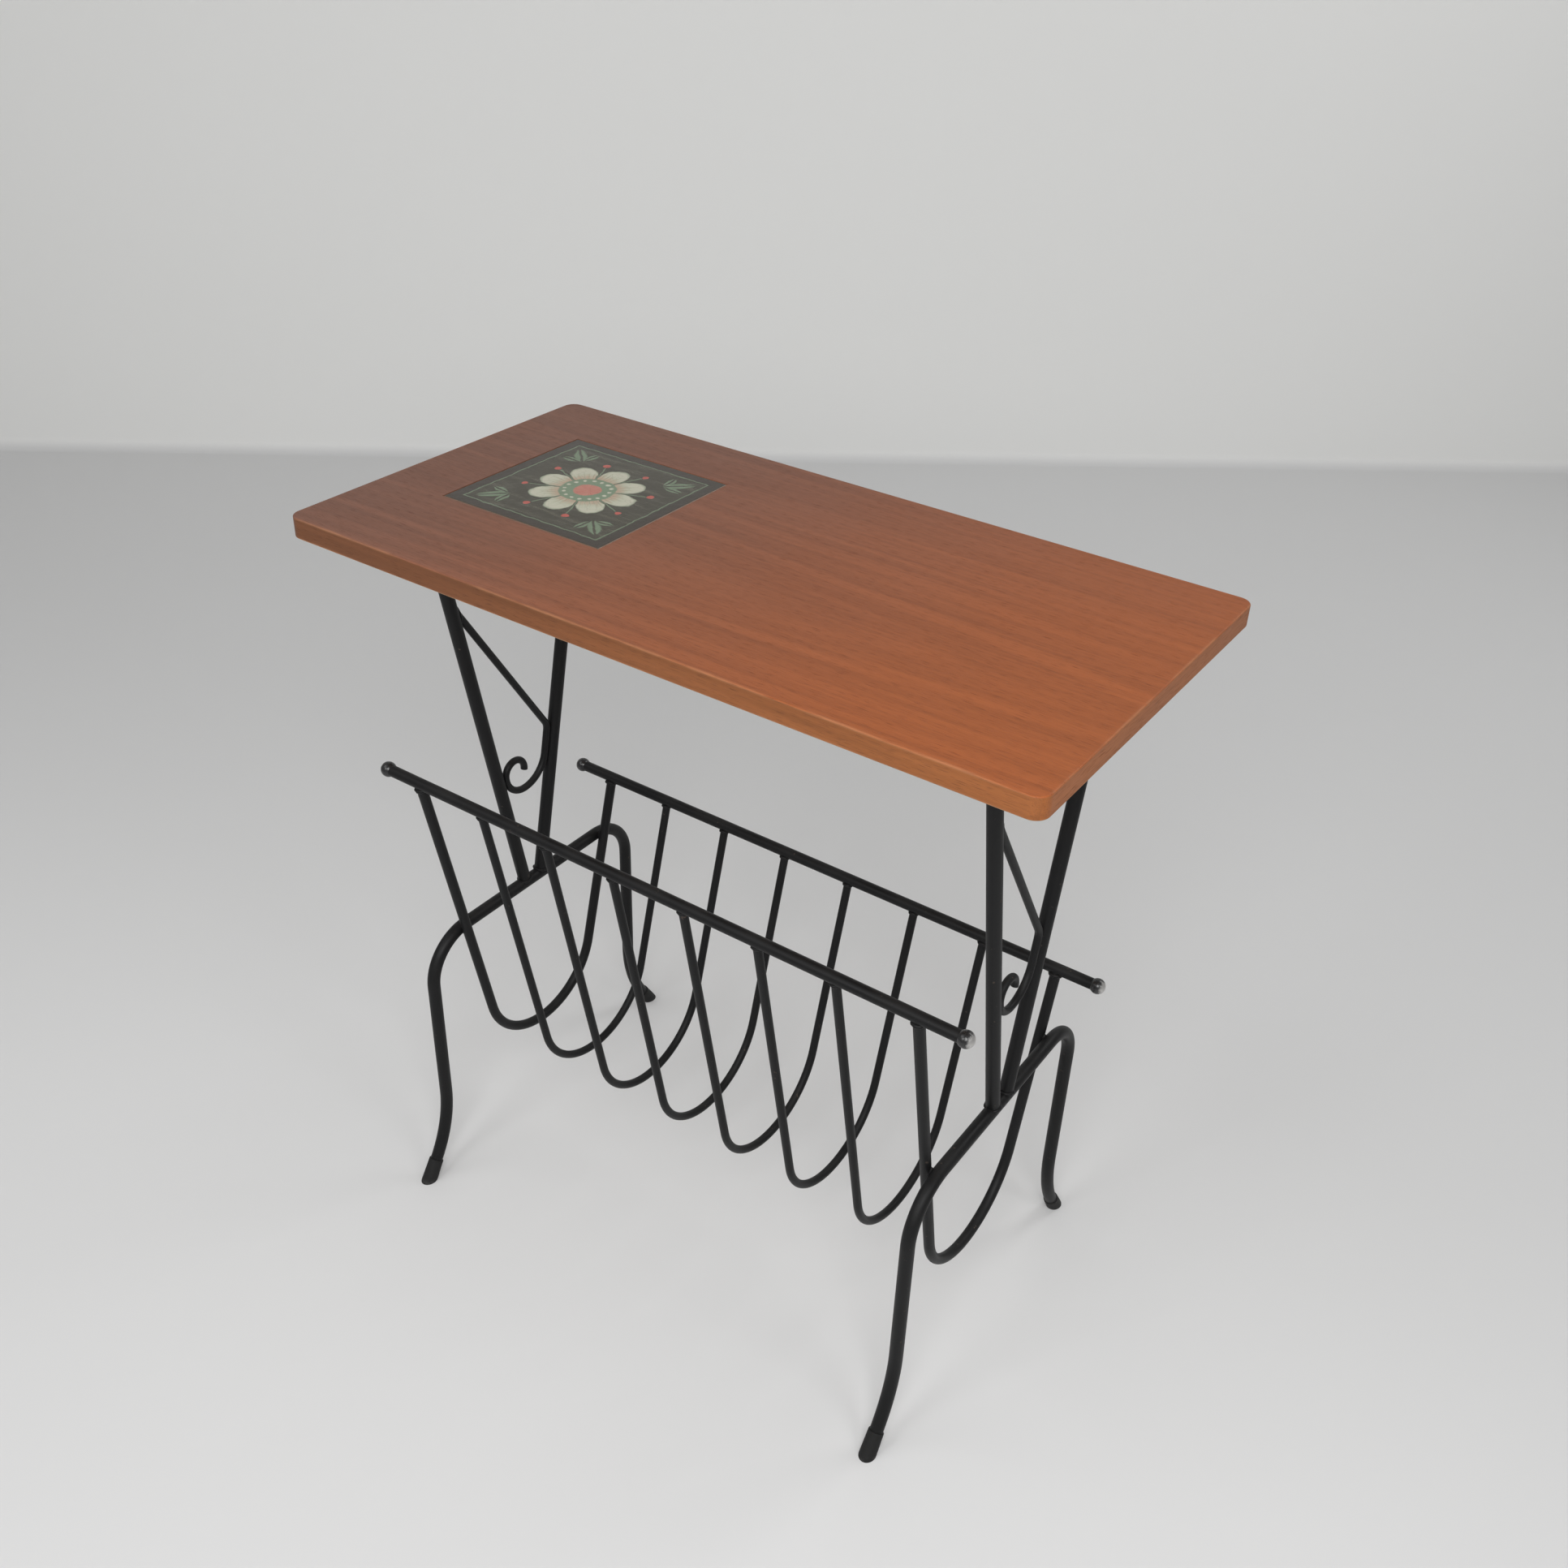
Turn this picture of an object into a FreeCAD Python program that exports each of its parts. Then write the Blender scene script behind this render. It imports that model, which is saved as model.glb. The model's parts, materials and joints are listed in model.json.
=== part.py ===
import FreeCAD, Part
import math
import os

# Magazine table: a veneered top with an inlaid tile, on a welded iron frame that carries a wire rack.
# Millimetres and degrees. Z is up from the floor, X runs along the top, the front is at negative Y.

# Table top
top_length = 600.0
top_width = 304.0
top_thickness = 16.0
table_height = 622.0
top_corner_radius = 10.0
top_arris_radius = 1.0
veneer_thickness = 0.8
lipping_width = 6.0

# Tile let into the top
tile_side = 148.0
tile_thickness = 6.0
tile_arris_radius = 1.0
tile_joint = 0.6
tile_to_left_edge = 60.0
tile_to_back_edge = 62.0

# Leg arches, one at each end
leg_inset = 66.5
leg_diameter = 10.8
leg_spread = 250.0
crossbar_height = 246.0
crossbar_bend_radius = 42.0
foot_bend_radius = 130.0
foot_splay = 32.0
foot_tail = 14.0

# Rubber caps that grip the straight tails of the legs
foot_cap_wall = 0.9
foot_cap_flare = 0.4
foot_cap_floor = 2.4
foot_cap_round = 0.8

# Posts that stand on each crossbar in a V
post_diameter = 11.0
post_top_spread = 162.0
post_foot_gap = 8.0
post_lap_share = 0.5

# Strips under the top, which the posts are welded to, and their screws
strip_width = 20.0
strip_thickness = 3.0
strip_overhang = 22.0
screw_inset = 9.0
screw_diameter = 4.0
screw_head_diameter = 8.0
screw_head_height = 2.4
screw_head_round_share = 0.6
screw_hole_clearance = 0.4
screw_cover = 2.0

# Scrolls between the posts
scroll_diameter = 6.0
scroll_drop = 63.0
scroll_elbow_radius = 12.0
scroll_run = 26.0
scroll_outer_radius = 27.5
scroll_middle_radius = 20.5
scroll_inner_radius = 11.0
scroll_inner_turn = 190.0

# Magazine rack: two rails, with hoops between them
rail_diameter = 9.2
rail_overhang = 34.5
front_rail_height = 411.0
front_rail_reach = 124.0
back_rail_height = 304.0
back_rail_reach = 99.0
knob_wall = 1.6
hoop_count = 8
end_hoop_diameter = 8.5
inner_hoop_diameter = 6.8
hoop_floor_height = 96.5
hoop_bend_radius = 65.5
hoop_bend_to_front = 6.0

# Rods that are welded side by side lie this far apart
weld_gap = 0.2

# Cutting solids run this far past what they cut
overrun = 20.0

# Edges whose ends differ by less than this are level
level_tolerance = 1e-6

quarter_turn = 90.0
up = quarter_turn
down = -quarter_turn

# Places that several pieces share
half_length = top_length / 2
half_width = top_width / 2
underside = table_height - top_thickness
core_bottom = underside + veneer_thickness
core_top = table_height - veneer_thickness
tile_bottom = table_height - tile_thickness
tile_x = -half_length + tile_to_left_edge + tile_side / 2
tile_y = half_width - tile_to_back_edge - tile_side / 2
strip_bottom = underside - strip_thickness
leg_radius = leg_diameter / 2
post_radius = post_diameter / 2
scroll_radius = scroll_diameter / 2
rail_radius = rail_diameter / 2
arch_x = half_length - leg_inset
post_top_y = post_top_spread / 2
post_foot_y = (post_diameter + post_foot_gap) / 2
post_slope = (post_top_y - post_foot_y) / (strip_bottom - crossbar_height)
post_lean = math.degrees(math.atan(post_slope))
screw_y = post_top_y + strip_overhang - screw_inset
end_hoop_x = arch_x - leg_radius - weld_gap - end_hoop_diameter / 2
rail_half_length = end_hoop_x + rail_overhang


def vector(x, y, z):
    return FreeCAD.Vector(x, y, z)


def heading_vector(heading):
    """Unit vector in the YZ plane, at an angle from +Y towards +Z."""
    angle = math.radians(heading)
    return vector(0, math.cos(angle), math.sin(angle))


def box(x_range, y_range, z_range):
    """Box between two places on each axis."""
    ranges = (x_range, y_range, z_range)
    sizes = [high - low for low, high in ranges]
    return Part.makeBox(*sizes, vector(*[low for low, high in ranges]))


def prism(points, bottom, top):
    """Upright prism over a polygon of (x, y) points."""
    outline = Part.makePolygon([vector(x, y, bottom) for x, y in points + points[:1]])
    return Part.Face(outline).extrude(vector(0, 0, top - bottom))


def upright_cylinder(radius, x, y, bottom, top):
    return Part.makeCylinder(radius, top - bottom, vector(x, y, bottom))


def level_edges(shape, height):
    """Edges that lie at one height all along."""
    def is_level(edge):
        return all(abs(end.Z - height) < level_tolerance for end in edge.Vertexes)
    return [edge for edge in shape.Edges if is_level(edge)]


def upright_edges(shape):
    """Straight edges that run along Z."""
    def is_upright(edge):
        run = edge.Vertexes[-1].Point - edge.Vertexes[0].Point
        return math.hypot(run.x, run.y) < level_tolerance
    return [edge for edge in shape.Edges if is_upright(edge)]


def bend(point, heading, radius, turn):
    """Arc that leaves a point along a heading, with its end and the heading there."""
    side = math.copysign(quarter_turn, turn)
    centre = point + heading_vector(heading + side) * radius
    middle = centre + heading_vector(heading - side + turn / 2) * radius
    end = centre + heading_vector(heading - side + turn) * radius
    return Part.Arc(point, middle, end).toShape(), end, heading + turn


def bent_rod(x, start, heading, steps, diameter):
    """Round rod in the plane at x, bent as on a wire bender.

    start is the (y, z) of its first end and heading its first direction. Each step is the length
    of a straight run, or the radius and the turn of a bend, where a positive turn is to the left.
    """
    point = vector(x, *start)
    section = Part.Wire(Part.Circle(point, heading_vector(heading), diameter / 2).toShape())
    edges = []
    for step in steps:
        if isinstance(step, tuple):
            edge, point, heading = bend(point, heading, *step)
        else:
            end = point + heading_vector(heading) * step
            edge = Part.LineSegment(point, end).toShape()
            point = end
        edges.append(edge)
    return Part.Wire(edges).makePipeShell([section], True, False)


def top_blank():
    """Whole top, with its corners rounded and its arrises eased."""
    blank = box((-half_length, half_length), (-half_width, half_width), (underside, table_height))
    blank = blank.makeFillet(top_corner_radius, upright_edges(blank))
    rims = level_edges(blank, table_height) + level_edges(blank, underside)
    return blank.makeFillet(top_arris_radius, rims)


def top_layer(bottom, top):
    """Layer of the top between two heights."""
    reach_x = (-half_length - overrun, half_length + overrun)
    reach_y = (-half_width - overrun, half_width + overrun)
    return top_blank().common(box(reach_x, reach_y, (bottom, top)))


def tile_pocket():
    """Room for the tile and the joint round it, open upwards."""
    reach = tile_side / 2 + tile_joint
    return box((tile_x - reach, tile_x + reach), (tile_y - reach, tile_y + reach),
               (tile_bottom, table_height + overrun))


def screw_places():
    return [(side * arch_x, y) for side in (-1, 1) for y in (-screw_y, 0, screw_y)]


def screw_shanks():
    tip = tile_bottom - screw_cover
    return [upright_cylinder(screw_diameter / 2, x, y, strip_bottom, tip) for x, y in screw_places()]


def top_veneer():
    return top_layer(core_top, table_height).cut(tile_pocket())


def bottom_veneer():
    return top_layer(underside, core_bottom).cut(screw_shanks())


def core_board():
    core_x = half_length - lipping_width
    core_y = half_width - lipping_width
    core = box((-core_x, core_x), (-core_y, core_y), (core_bottom, core_top))
    return core.cut([tile_pocket()] + screw_shanks())


def edge_lipping(corner_a, corner_b):
    """Lipping between two corners of the top, given as signs of x and y, with mitred ends."""
    def outer(corner):
        return corner[0] * half_length, corner[1] * half_width

    def inner(corner):
        return corner[0] * (half_length - lipping_width), corner[1] * (half_width - lipping_width)
    outline = [outer(corner_a), outer(corner_b), inner(corner_b), inner(corner_a)]
    return top_layer(core_bottom, core_top).common(prism(outline, core_bottom, core_top))


def decor_tile():
    half_side = tile_side / 2
    tile = box((tile_x - half_side, tile_x + half_side), (tile_y - half_side, tile_y + half_side),
               (tile_bottom, table_height))
    return tile.makeFillet(tile_arris_radius, level_edges(tile, table_height))


def leg_end():
    """The y and z, on the back side, of the middle of a leg rod's lower end."""
    splay = math.radians(foot_splay)
    y = leg_spread / 2 + foot_bend_radius * (1 - math.cos(splay)) + foot_tail * math.sin(splay)
    return y, foot_cap_floor + leg_radius * math.sin(splay)


def leg_arch(x):
    """Rod bent into two legs and the crossbar between them."""
    end_y, end_z = leg_end()
    splay = math.radians(foot_splay)
    curve_rise = foot_tail * math.cos(splay) + foot_bend_radius * math.sin(splay)
    straight = crossbar_height - crossbar_bend_radius - end_z - curve_rise
    crossbar = leg_spread - 2 * crossbar_bend_radius
    foot_bend = (foot_bend_radius, foot_splay)
    shoulder = (crossbar_bend_radius, -quarter_turn)
    steps = [foot_tail, foot_bend, straight, shoulder, crossbar, shoulder, straight, foot_bend, foot_tail]
    return bent_rod(x, (-end_y, end_z), up - foot_splay, steps, leg_diameter)


def foot_cap(x, side, arch):
    """Flared cap on a leg's tail, flat on the floor and bored to fit the rod."""
    end_y, end_z = leg_end()
    neck = leg_radius + foot_cap_wall
    base = neck + foot_cap_flare
    floor_drop = -end_z / math.cos(math.radians(foot_splay))
    shoulder_low = vector(neck, 0, foot_tail - foot_cap_round)
    shoulder_high = vector(neck - foot_cap_round, 0, foot_tail)
    shoulder_centre = vector(neck - foot_cap_round, 0, foot_tail - foot_cap_round)
    halfway = (shoulder_low + shoulder_high) / 2 - shoulder_centre
    shoulder_middle = shoulder_centre + halfway.normalize() * foot_cap_round
    lowest = floor_drop - overrun
    top_middle = vector(0, 0, foot_tail)
    bottom_middle = vector(0, 0, lowest)
    bottom_rim = vector(base, 0, lowest)
    lower = [top_middle, bottom_middle, bottom_rim, vector(base, 0, floor_drop), shoulder_low]
    edges = Part.makePolygon(lower).Edges
    edges.append(Part.Arc(shoulder_low, shoulder_middle, shoulder_high).toShape())
    edges.append(Part.LineSegment(shoulder_high, top_middle).toShape())
    cap = Part.Face(Part.Wire(edges)).revolve(vector(0, 0, 0), vector(0, 0, 1))
    tail_direction = heading_vector(up + side * foot_splay)
    turn = FreeCAD.Rotation(vector(0, 0, 1), tail_direction)
    cap.Placement = FreeCAD.Placement(vector(x, side * end_y, end_z), turn)
    reach = base + overrun + foot_tail
    below = box((x - reach, x + reach), (side * end_y - reach, side * end_y + reach), (-reach - overrun, 0))
    return cap.cut([below, arch])


def post(x, side, arch):
    """Leaning post, cut level under the strip and coped over the crossbar."""
    direction = heading_vector(up - side * post_lean)
    foot = vector(x, side * post_foot_y, crossbar_height)
    length = (strip_bottom - crossbar_height) / direction.z
    rod = Part.makeCylinder(post_radius, length + 2 * overrun, foot - direction * overrun, direction)
    reach = post_top_y + post_diameter + overrun
    lowest = crossbar_height + leg_radius * post_lap_share
    kept = box((x - reach, x + reach), (-reach, reach), (lowest, strip_bottom))
    return rod.common(kept).cut(arch)


def mounting_strip(x):
    """Flat bar with round ends and screw holes, along the underside of the top."""
    end = post_top_y + strip_overhang
    centre = end - strip_width / 2
    flat = box((x - strip_width / 2, x + strip_width / 2), (-centre, centre), (strip_bottom, underside))
    ends = [upright_cylinder(strip_width / 2, x, y, strip_bottom, underside) for y in (-centre, centre)]
    hole_radius = (screw_diameter + screw_hole_clearance) / 2
    holes = [upright_cylinder(hole_radius, x, y, strip_bottom - overrun, underside + overrun)
             for y in (-screw_y, 0, screw_y)]
    return flat.fuse(ends).removeSplitter().cut(holes)


def mounting_screws():
    screws = []
    for (x, y), shank in zip(screw_places(), screw_shanks()):
        low = strip_bottom - screw_head_height
        head = upright_cylinder(screw_head_diameter / 2, x, y, low, strip_bottom)
        head = head.makeFillet(screw_head_height * screw_head_round_share, level_edges(head, low))
        screws.append(head.fuse(shank))
    return Part.makeCompound(screws)


def scroll(x, front_post):
    """Thin rod from the front post across to the back post, then down it and into a curl.

    The curl's outer bend touches the line along the back post, and its middle bend touches the
    front post, so its height in the V follows from its radii.
    """
    lean = math.radians(post_lean)
    offset = post_radius + scroll_radius + weld_gap
    step_up = scroll_outer_radius - scroll_middle_radius
    room = (scroll_outer_radius + scroll_middle_radius + 2 * offset) / math.cos(lean)
    middle_rise = ((room - 2 * post_foot_y) / post_slope - step_up) / 2
    middle_y = (scroll_middle_radius + offset) / math.cos(lean) - post_foot_y - middle_rise * post_slope
    outer_centre = vector(x, middle_y, crossbar_height + middle_rise + step_up)
    along_post = heading_vector(down - post_lean)
    curl_start = outer_centre + heading_vector(-post_lean) * scroll_outer_radius
    corner = curl_start - along_post * scroll_run
    start_z = strip_bottom - scroll_drop
    start = vector(x, -post_foot_y - (start_z - crossbar_height) * post_slope, start_z)
    across = corner - start
    across_heading = math.degrees(math.atan2(across.z, across.y))
    elbow_turn = down - post_lean - across_heading
    elbow_trim = scroll_elbow_radius * math.tan(math.radians(abs(elbow_turn) / 2))
    steps = [across.Length - elbow_trim, (scroll_elbow_radius, elbow_turn), scroll_run - elbow_trim,
             (scroll_outer_radius, post_lean - quarter_turn), (scroll_middle_radius, -quarter_turn),
             (scroll_inner_radius, -scroll_inner_turn)]
    return bent_rod(x, (start.y, start.z), across_heading, steps, scroll_diameter).cut(front_post)


def rack_rail(y, z):
    left_end = vector(-rail_half_length, y, z)
    return Part.makeCylinder(rail_radius, 2 * rail_half_length, left_end, vector(1, 0, 0))


def rail_knob(side, y, z):
    """Ball pressed onto the end of a rail, up to the ball's middle."""
    ball_radius = rail_radius + knob_wall
    bore_mouth = -math.sqrt(ball_radius ** 2 - rail_radius ** 2)
    mouth = vector(side * bore_mouth, rail_radius, 0)
    crown = vector(0, ball_radius, 0)
    tip = vector(side * ball_radius, 0, 0)
    sides = Part.makePolygon([tip, vector(0, 0, 0), vector(0, rail_radius, 0), mouth]).Edges
    section = Part.Face(Part.Wire(sides + [Part.Arc(mouth, crown, tip).toShape()]))
    knob = section.revolve(vector(0, 0, 0), vector(1, 0, 0))
    knob.translate(vector(side * rail_half_length, y, z))
    return knob


def rack_hoop(x, diameter, rails):
    """U of rod, with two straight arms tangent to its round floor, coped under both rails."""
    front = vector(x, -front_rail_reach, front_rail_height)
    back = vector(x, back_rail_reach, back_rail_height)
    centre = vector(x, -hoop_bend_to_front, hoop_floor_height + hoop_bend_radius)

    def tangent(line):
        """Length of an arm, from the line between its end and the bend's middle, and that line's angles."""
        length = math.sqrt(line.Length ** 2 - hoop_bend_radius ** 2)
        heading = math.degrees(math.atan2(line.z, line.y))
        return length, heading, math.degrees(math.asin(hoop_bend_radius / line.Length))
    front_length, front_angle, front_spread = tangent(centre - front)
    back_length, back_angle, back_spread = tangent(back - centre)
    heading = front_angle - front_spread
    turn = back_angle + back_spread - heading
    steps = [front_length, (hoop_bend_radius, turn), back_length]
    return bent_rod(x, (front.y, front.z), heading, steps, diameter).cut(rails)


def build():
    parts = {
        "top_veneer": top_veneer(),
        "bottom_veneer": bottom_veneer(),
        "core_board": core_board(),
        "edge_lipping_front": edge_lipping((-1, -1), (1, -1)),
        "edge_lipping_back": edge_lipping((1, 1), (-1, 1)),
        "edge_lipping_left": edge_lipping((-1, 1), (-1, -1)),
        "edge_lipping_right": edge_lipping((1, -1), (1, 1)),
        "decor_tile": decor_tile(),
        "mounting_screws": mounting_screws(),
    }
    for end, x in (("left", -arch_x), ("right", arch_x)):
        arch = leg_arch(x)
        parts[f"leg_arch_{end}"] = arch
        parts[f"mounting_strip_{end}"] = mounting_strip(x)
        for face, side in (("front", -1), ("back", 1)):
            parts[f"foot_cap_{end}_{face}"] = foot_cap(x, side, arch)
            parts[f"post_{end}_{face}"] = post(x, side, arch)
        parts[f"scroll_{end}"] = scroll(x, parts[f"post_{end}_front"])
    rail_places = {
        "front": (-front_rail_reach, front_rail_height),
        "back": (back_rail_reach, back_rail_height),
    }
    for face, place in rail_places.items():
        parts[f"rack_rail_{face}"] = rack_rail(*place)
        for end, side in (("left", -1), ("right", 1)):
            parts[f"rail_knob_{face}_{end}"] = rail_knob(side, *place)
    rails = [parts["rack_rail_front"], parts["rack_rail_back"]]
    pitch = 2 * end_hoop_x / (hoop_count - 1)
    for number in range(hoop_count):
        is_end = number in (0, hoop_count - 1)
        diameter = end_hoop_diameter if is_end else inner_hoop_diameter
        parts[f"rack_hoop_{number + 1}"] = rack_hoop(-end_hoop_x + number * pitch, diameter, rails)
    return parts


os.makedirs("parts", exist_ok=True)
for name, shape in build().items():
    shape.exportStep(f"parts/{name}.step")
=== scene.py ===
import json
import math
import random

import bmesh
import bpy
from mathutils import Matrix, Vector


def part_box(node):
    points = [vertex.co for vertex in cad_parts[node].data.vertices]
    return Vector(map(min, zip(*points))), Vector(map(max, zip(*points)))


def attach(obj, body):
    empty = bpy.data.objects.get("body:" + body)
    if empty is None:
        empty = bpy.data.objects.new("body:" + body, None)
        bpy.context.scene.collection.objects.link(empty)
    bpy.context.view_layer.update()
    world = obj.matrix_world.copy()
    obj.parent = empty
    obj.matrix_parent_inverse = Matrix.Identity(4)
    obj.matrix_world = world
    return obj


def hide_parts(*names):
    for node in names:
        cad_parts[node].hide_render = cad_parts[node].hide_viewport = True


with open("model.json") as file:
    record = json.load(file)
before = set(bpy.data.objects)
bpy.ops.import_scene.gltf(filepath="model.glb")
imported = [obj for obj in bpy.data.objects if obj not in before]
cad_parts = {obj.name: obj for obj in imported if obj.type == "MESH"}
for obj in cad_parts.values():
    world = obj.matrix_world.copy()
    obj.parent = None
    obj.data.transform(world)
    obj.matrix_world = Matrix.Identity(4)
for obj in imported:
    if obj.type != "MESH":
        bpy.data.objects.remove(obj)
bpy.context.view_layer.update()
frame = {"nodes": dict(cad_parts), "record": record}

# Magazine table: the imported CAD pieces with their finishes, in a plain studio.
# Only the welds and the slotted screws are modelled here, because they are too small for the solids.
# Metres, in the frame of the CAD: Z is up from the floor, X runs along the top, the front is at negative Y.

mm = 0.001
turn = 2 * math.pi
body = "root"
rng = random.Random(7)

# Camera, fitted to the photograph
image_size = 1932
focal_pixels = 1959.3
sensor_width = 36.0
camera_place = Vector((0.5791, -0.8163, 1.0843))
camera_azimuth = math.radians(33.918)
camera_tilt = math.radians(57.102)
camera_roll = math.radians(2.067)

# Studio
floor_size = 14.0
wall_distance = 1.769
wall_azimuth = math.radians(37.25)
wall_height = 5.0
cove_radius = 20 * mm
cove_steps = 10
lamp_target = Vector((0, 0, 0.3))
fill_strength = 0.32

# Places of the welds that the boxes of the CAD nodes don't give
# The tacks are at the y and z where an end hoop crosses a leg arch
hoop_count = 8
front_arm_lean = math.radians(11.6)
back_arm_lean = math.radians(14.7)
hoop_tacks = ((-90.0 * mm, 245.5 * mm), (83.8 * mm, 246.0 * mm))
scroll_head_height = 527.4 * mm
scroll_head_slant = math.radians(21.5)
scroll_seam_heights = (367 * mm, 382 * mm)
curl_touch_heights = (354 * mm, 361 * mm)

# Weld beads
bead_sides = 10
bead_steps = 28
bead_ripple = 0.12
bead_waves = 9
seam_tip = 0.05
arm_bead_share = 0.30
arm_bead_extra = 0.3 * mm
arm_bead_drop = 0.1 * mm
post_foot_bead = 1.3 * mm
post_foot_sink = 1.2 * mm
post_head_bead = 1.2 * mm
scroll_head_bead = 0.8 * mm
scroll_seam_bead = 1.7 * mm
tack_bead = 2.4 * mm
tack_length = 8 * mm

# Slotted screws under the top
screw_inset = 9 * mm
screw_radius = 2 * mm
screw_head_radius = 4 * mm
screw_head_height = 2.4 * mm
screw_head_steps = 8
screw_slot_length = 2.4 * screw_head_radius
screw_slot_width = 1.1 * mm
screw_slot_depth = 1.2 * mm
screw_sides = 40
merge_distance = 0.001 * mm

# Colours and petals of the tile's painting
ground = (0.031, 0.026, 0.012)
ground_stroke = (0.066, 0.060, 0.038)
border = (0.024, 0.015, 0.007)
cream = (0.47, 0.455, 0.355)
pale_green = (0.30, 0.37, 0.24)
leaf_green = (0.15, 0.21, 0.13)
blush = (0.45, 0.24, 0.17)
red = (0.40, 0.075, 0.055)
clay = (0.22, 0.15, 0.10)
petals = 8

# Places that the pieces and finishes are set by
top_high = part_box("top_veneer")[1]
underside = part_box("bottom_veneer")[0].z
tile_low, tile_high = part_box("decor_tile")
strip_low, strip_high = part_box("mounting_strip_right")
arch_low, arch_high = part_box("leg_arch_right")
arch_x = (arch_low.x + arch_high.x) / 2
knob_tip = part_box("rail_knob_front_right")[1].x


class Signal:
    """A number that varies over a surface, carried by the output of a shader node."""

    def __init__(self, graph, socket):
        self.graph = graph
        self.socket = socket

    def __add__(self, other):
        return self.graph.math("ADD", self, other)

    def __sub__(self, other):
        return self.graph.math("SUBTRACT", self, other)

    def __rsub__(self, other):
        return self.graph.math("SUBTRACT", other, self)

    def __mul__(self, other):
        return self.graph.math("MULTIPLY", self, other)

    def __truediv__(self, other):
        return self.graph.math("DIVIDE", self, other)

    def __pow__(self, other):
        return self.graph.math("POWER", self, other)

    def __abs__(self):
        return self.graph.math("ABSOLUTE", self)

    __radd__ = __add__


class Graph:
    """Material under construction, with short calls for the nodes that the finishes need.

    place is the place on the surface, as x, y and z in metres.
    """

    def __init__(self, name):
        self.material = bpy.data.materials.new(name)
        self.material.use_nodes = True
        self.tree = self.material.node_tree
        self.tree.nodes.clear()
        self.shader = self.node("ShaderNodeBsdfPrincipled")
        output = self.node("ShaderNodeOutputMaterial")
        self.tree.links.new(self.shader.outputs["BSDF"], output.inputs["Surface"])
        self.place = self.split(self.node("ShaderNodeTexCoord").outputs["Object"])

    def node(self, kind, inputs=None, **settings):
        node = self.tree.nodes.new(kind)
        for name, value in settings.items():
            setattr(node, name, value)
        for name, value in (inputs or {}).items():
            self.put(node.inputs[name], value)
        return node

    def put(self, socket, value):
        """Sets a socket to a plain value or links it to a signal."""
        if isinstance(value, Signal):
            self.tree.links.new(value.socket, socket)
        else:
            socket.default_value = value

    def math(self, operation, *values):
        node = self.node("ShaderNodeMath", operation=operation)
        for socket, value in zip(node.inputs, values):
            self.put(socket, value)
        return Signal(self, node.outputs[0])

    def largest(self, first, second):
        return self.math("MAXIMUM", first, second)

    def split(self, socket):
        node = self.node("ShaderNodeSeparateXYZ", {"Vector": Signal(self, socket)})
        return [Signal(self, output) for output in node.outputs]

    def vector(self, x, y, z):
        node = self.node("ShaderNodeCombineXYZ", {"X": x, "Y": y, "Z": z})
        return Signal(self, node.outputs[0])

    def facing_up(self):
        """1 where the surface faces up, 0 where it is upright, -1 where it faces down."""
        return self.split(self.node("ShaderNodeNewGeometry").outputs["Normal"])[2]

    def noise(self, x, y, z, detail=3.0, roughness=0.5):
        """Noise from 0 to 1, mostly near a half, with features about 1 across."""
        node = self.node("ShaderNodeTexNoise", {"Vector": self.vector(x, y, z), "Scale": 1.0,
                                                "Detail": detail, "Roughness": roughness})
        return Signal(self, node.outputs[0])

    def clouds(self, size, detail=3.0, roughness=0.5):
        """Noise over the surface, with spots of a size in metres."""
        x, y, z = self.place
        return self.noise(x / size, y / size, z / size, detail, roughness)

    def cracks(self, size):
        """Distance to the nearest crack of a random net, as a share of the size of its meshes."""
        x, y, z = self.place
        place = self.vector(x / size, y / size, z / size)
        node = self.node("ShaderNodeTexVoronoi", {"Vector": place, "Scale": 1.0}, feature="DISTANCE_TO_EDGE")
        return Signal(self, node.outputs["Distance"])

    def step(self, value, low, high):
        """0 up to low, 1 from high on, and smooth between them."""
        node = self.node("ShaderNodeMapRange", {"Value": value, "From Min": low, "From Max": high},
                         interpolation_type="SMOOTHSTEP")
        return Signal(self, node.outputs[0])

    def mix(self, share, first, second):
        """Colour between two colours, which are signals or (r, g, b)."""
        node = self.node("ShaderNodeMix", data_type="RGBA")
        self.put(node.inputs[0], share)
        for socket, colour in zip(node.inputs[6:8], (first, second)):
            self.put(socket, colour if isinstance(colour, Signal) else (*colour, 1.0))
        return Signal(self, node.outputs[2])

    def relief(self, height, depth):
        """Bumps the surface by a height from 0 to 1, times a depth in metres."""
        node = self.node("ShaderNodeBump", {"Height": height, "Distance": depth, "Strength": 1.0})
        self.put(self.shader.inputs["Normal"], Signal(self, node.outputs[0]))

    def finish(self, inputs):
        """Sets the named inputs of the shader and gives the material."""
        for name, value in inputs.items():
            self.put(self.shader.inputs[name], value)
        return self.material


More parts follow.
